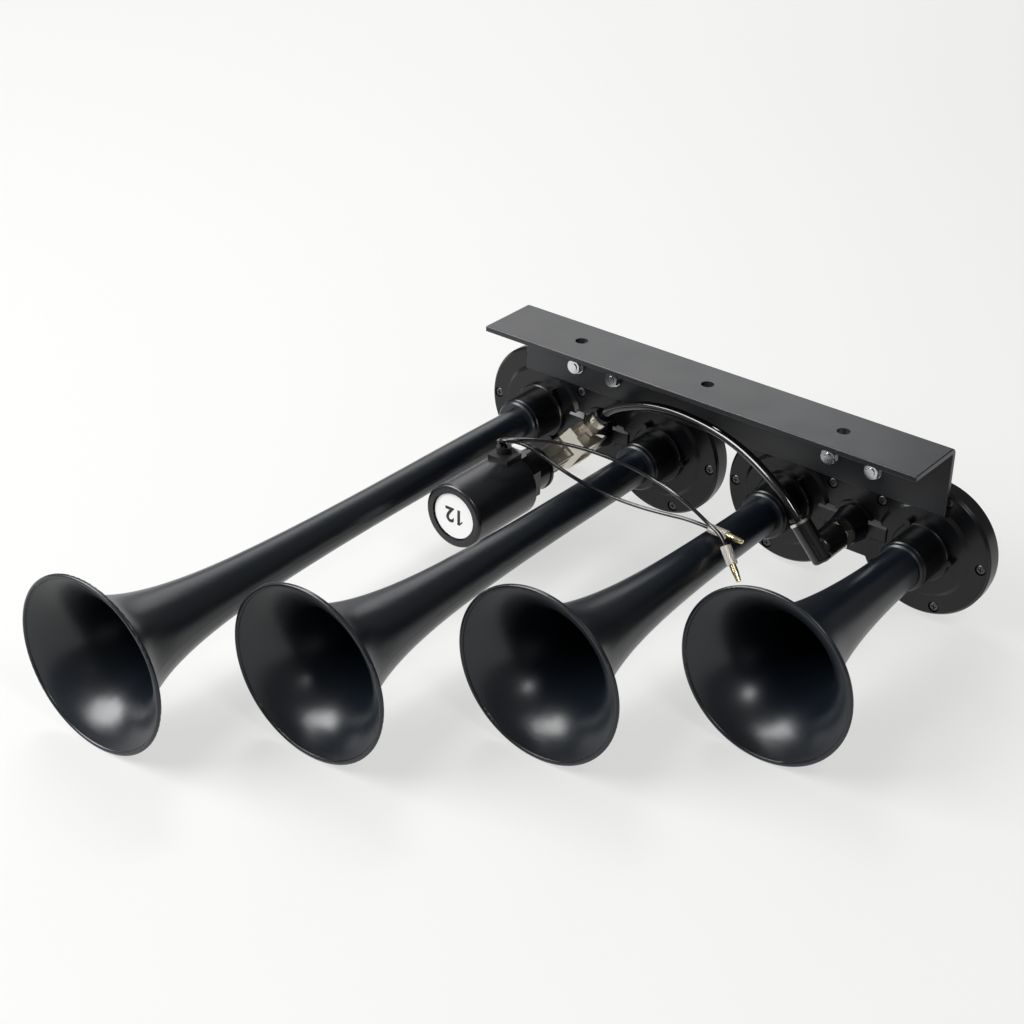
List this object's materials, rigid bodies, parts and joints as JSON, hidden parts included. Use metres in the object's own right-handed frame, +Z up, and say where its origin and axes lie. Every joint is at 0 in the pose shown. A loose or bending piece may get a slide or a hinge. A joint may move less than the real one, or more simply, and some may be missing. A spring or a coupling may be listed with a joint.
{
  "type": "train air horn",
  "caption": "Train air horn: black trumpets of stepped length in twin housings on an angle bracket, with a solenoid valve, an air tube and two leads.",
  "frame": {"origin": "centre mounting hole, on the angle bracket's top face", "axes": "+X along the bracket from the longest trumpet to the shortest, the bells face -Y, +Z up"},
  "size_m": [0.4338, 0.4635, 0.1405],
  "materials": {
    "bracket_coat": "satin powder coat on steel",
    "housing_coat": "satin powder coat on die casting",
    "trumpet_coat": "glossy baked enamel",
    "zinc_steel": "zinc plated",
    "spring_steel": "rolled",
    "core_steel": "turned",
    "black_rubber": "matt",
    "cast_valve": "bare die casting",
    "nickel_brass": "satin nickel plating on brass",
    "coil_resin": "moulded resin",
    "copper_wire": "enamelled copper wire, wound",
    "disc_white": "smooth",
    "black_nylon": "moulded",
    "tube_nylon": "extruded",
    "lead_jacket": "extruded",
    "clear_sleeve": "soft clear vinyl",
    "bullet_brass": "stamped",
    "nozzle_bright": "bright plated"
  },
  "bodies": {
    "horn": {"angle_bracket": "bracket_coat", "bracket_bolts": "zinc_steel", "bracket_washers": "zinc_steel", "bracket_nuts": "zinc_steel", "housing_left": "housing_coat", "housing_right": "housing_coat", "gaskets": "black_rubber", "diaphragm_1": "spring_steel", "diaphragm_2": "spring_steel", "diaphragm_3": "spring_steel", "diaphragm_4": "spring_steel", "rear_cover_1": "housing_coat", "rear_cover_2": "housing_coat", "rear_cover_3": "housing_coat", "rear_cover_4": "housing_coat", "trumpet_1": "trumpet_coat", "trumpet_2": "trumpet_coat", "trumpet_3": "trumpet_coat", "trumpet_4": "trumpet_coat", "rim_screws": "zinc_steel", "valve_body": "cast_valve", "guide_tube": "core_steel", "fixed_core": "core_steel", "plunger_spring": "spring_steel", "coil_shell": "coil_resin", "coil_winding": "copper_wire", "coil_disc": "disc_white", "bonnet_nut": "black_nylon", "terminal_boot": "black_rubber", "terminal_cover": "nozzle_bright", "fitting_body": "nickel_brass", "fitting_seal": "black_rubber", "elbow_stud": "nickel_brass", "elbow_body": "black_nylon", "elbow_band": "nozzle_bright", "elbow_seal": "black_rubber", "air_tube": "tube_nylon", "lead_a": "lead_jacket", "lead_b": "lead_jacket", "sleeve_a": "clear_sleeve", "sleeve_b": "clear_sleeve", "bullet_a": "bullet_brass", "bullet_b": "bullet_brass"},
    "plunger_set": {"plunger": "core_steel", "plunger_seal": "black_rubber"},
    "valve_collet": {"fitting_collet": "black_nylon"},
    "tube_collet": {"elbow_collet": "black_nylon"}
  },
  "joints": [
    {"name": "plunger_lift", "type": "slide", "parent": "horn", "child": "plunger_set", "axis": [0, -1, 0], "range_m": [0, 0.0025], "stiffness_N_per_m": 400, "springref_m": -0.004, "deforming": ["plunger_spring"]},
    {"name": "valve_collet_press", "type": "slide", "parent": "horn", "child": "valve_collet", "axis": [-0.5736, 0, -0.8191], "range_m": [0, 0.0012], "stiffness_N_per_m": 200, "springref_m": -0.001},
    {"name": "tube_collet_press", "type": "slide", "parent": "horn", "child": "tube_collet", "axis": [0.6691, 0, -0.7431], "range_m": [0, 0.0012], "stiffness_N_per_m": 200, "springref_m": -0.001}
  ]
}
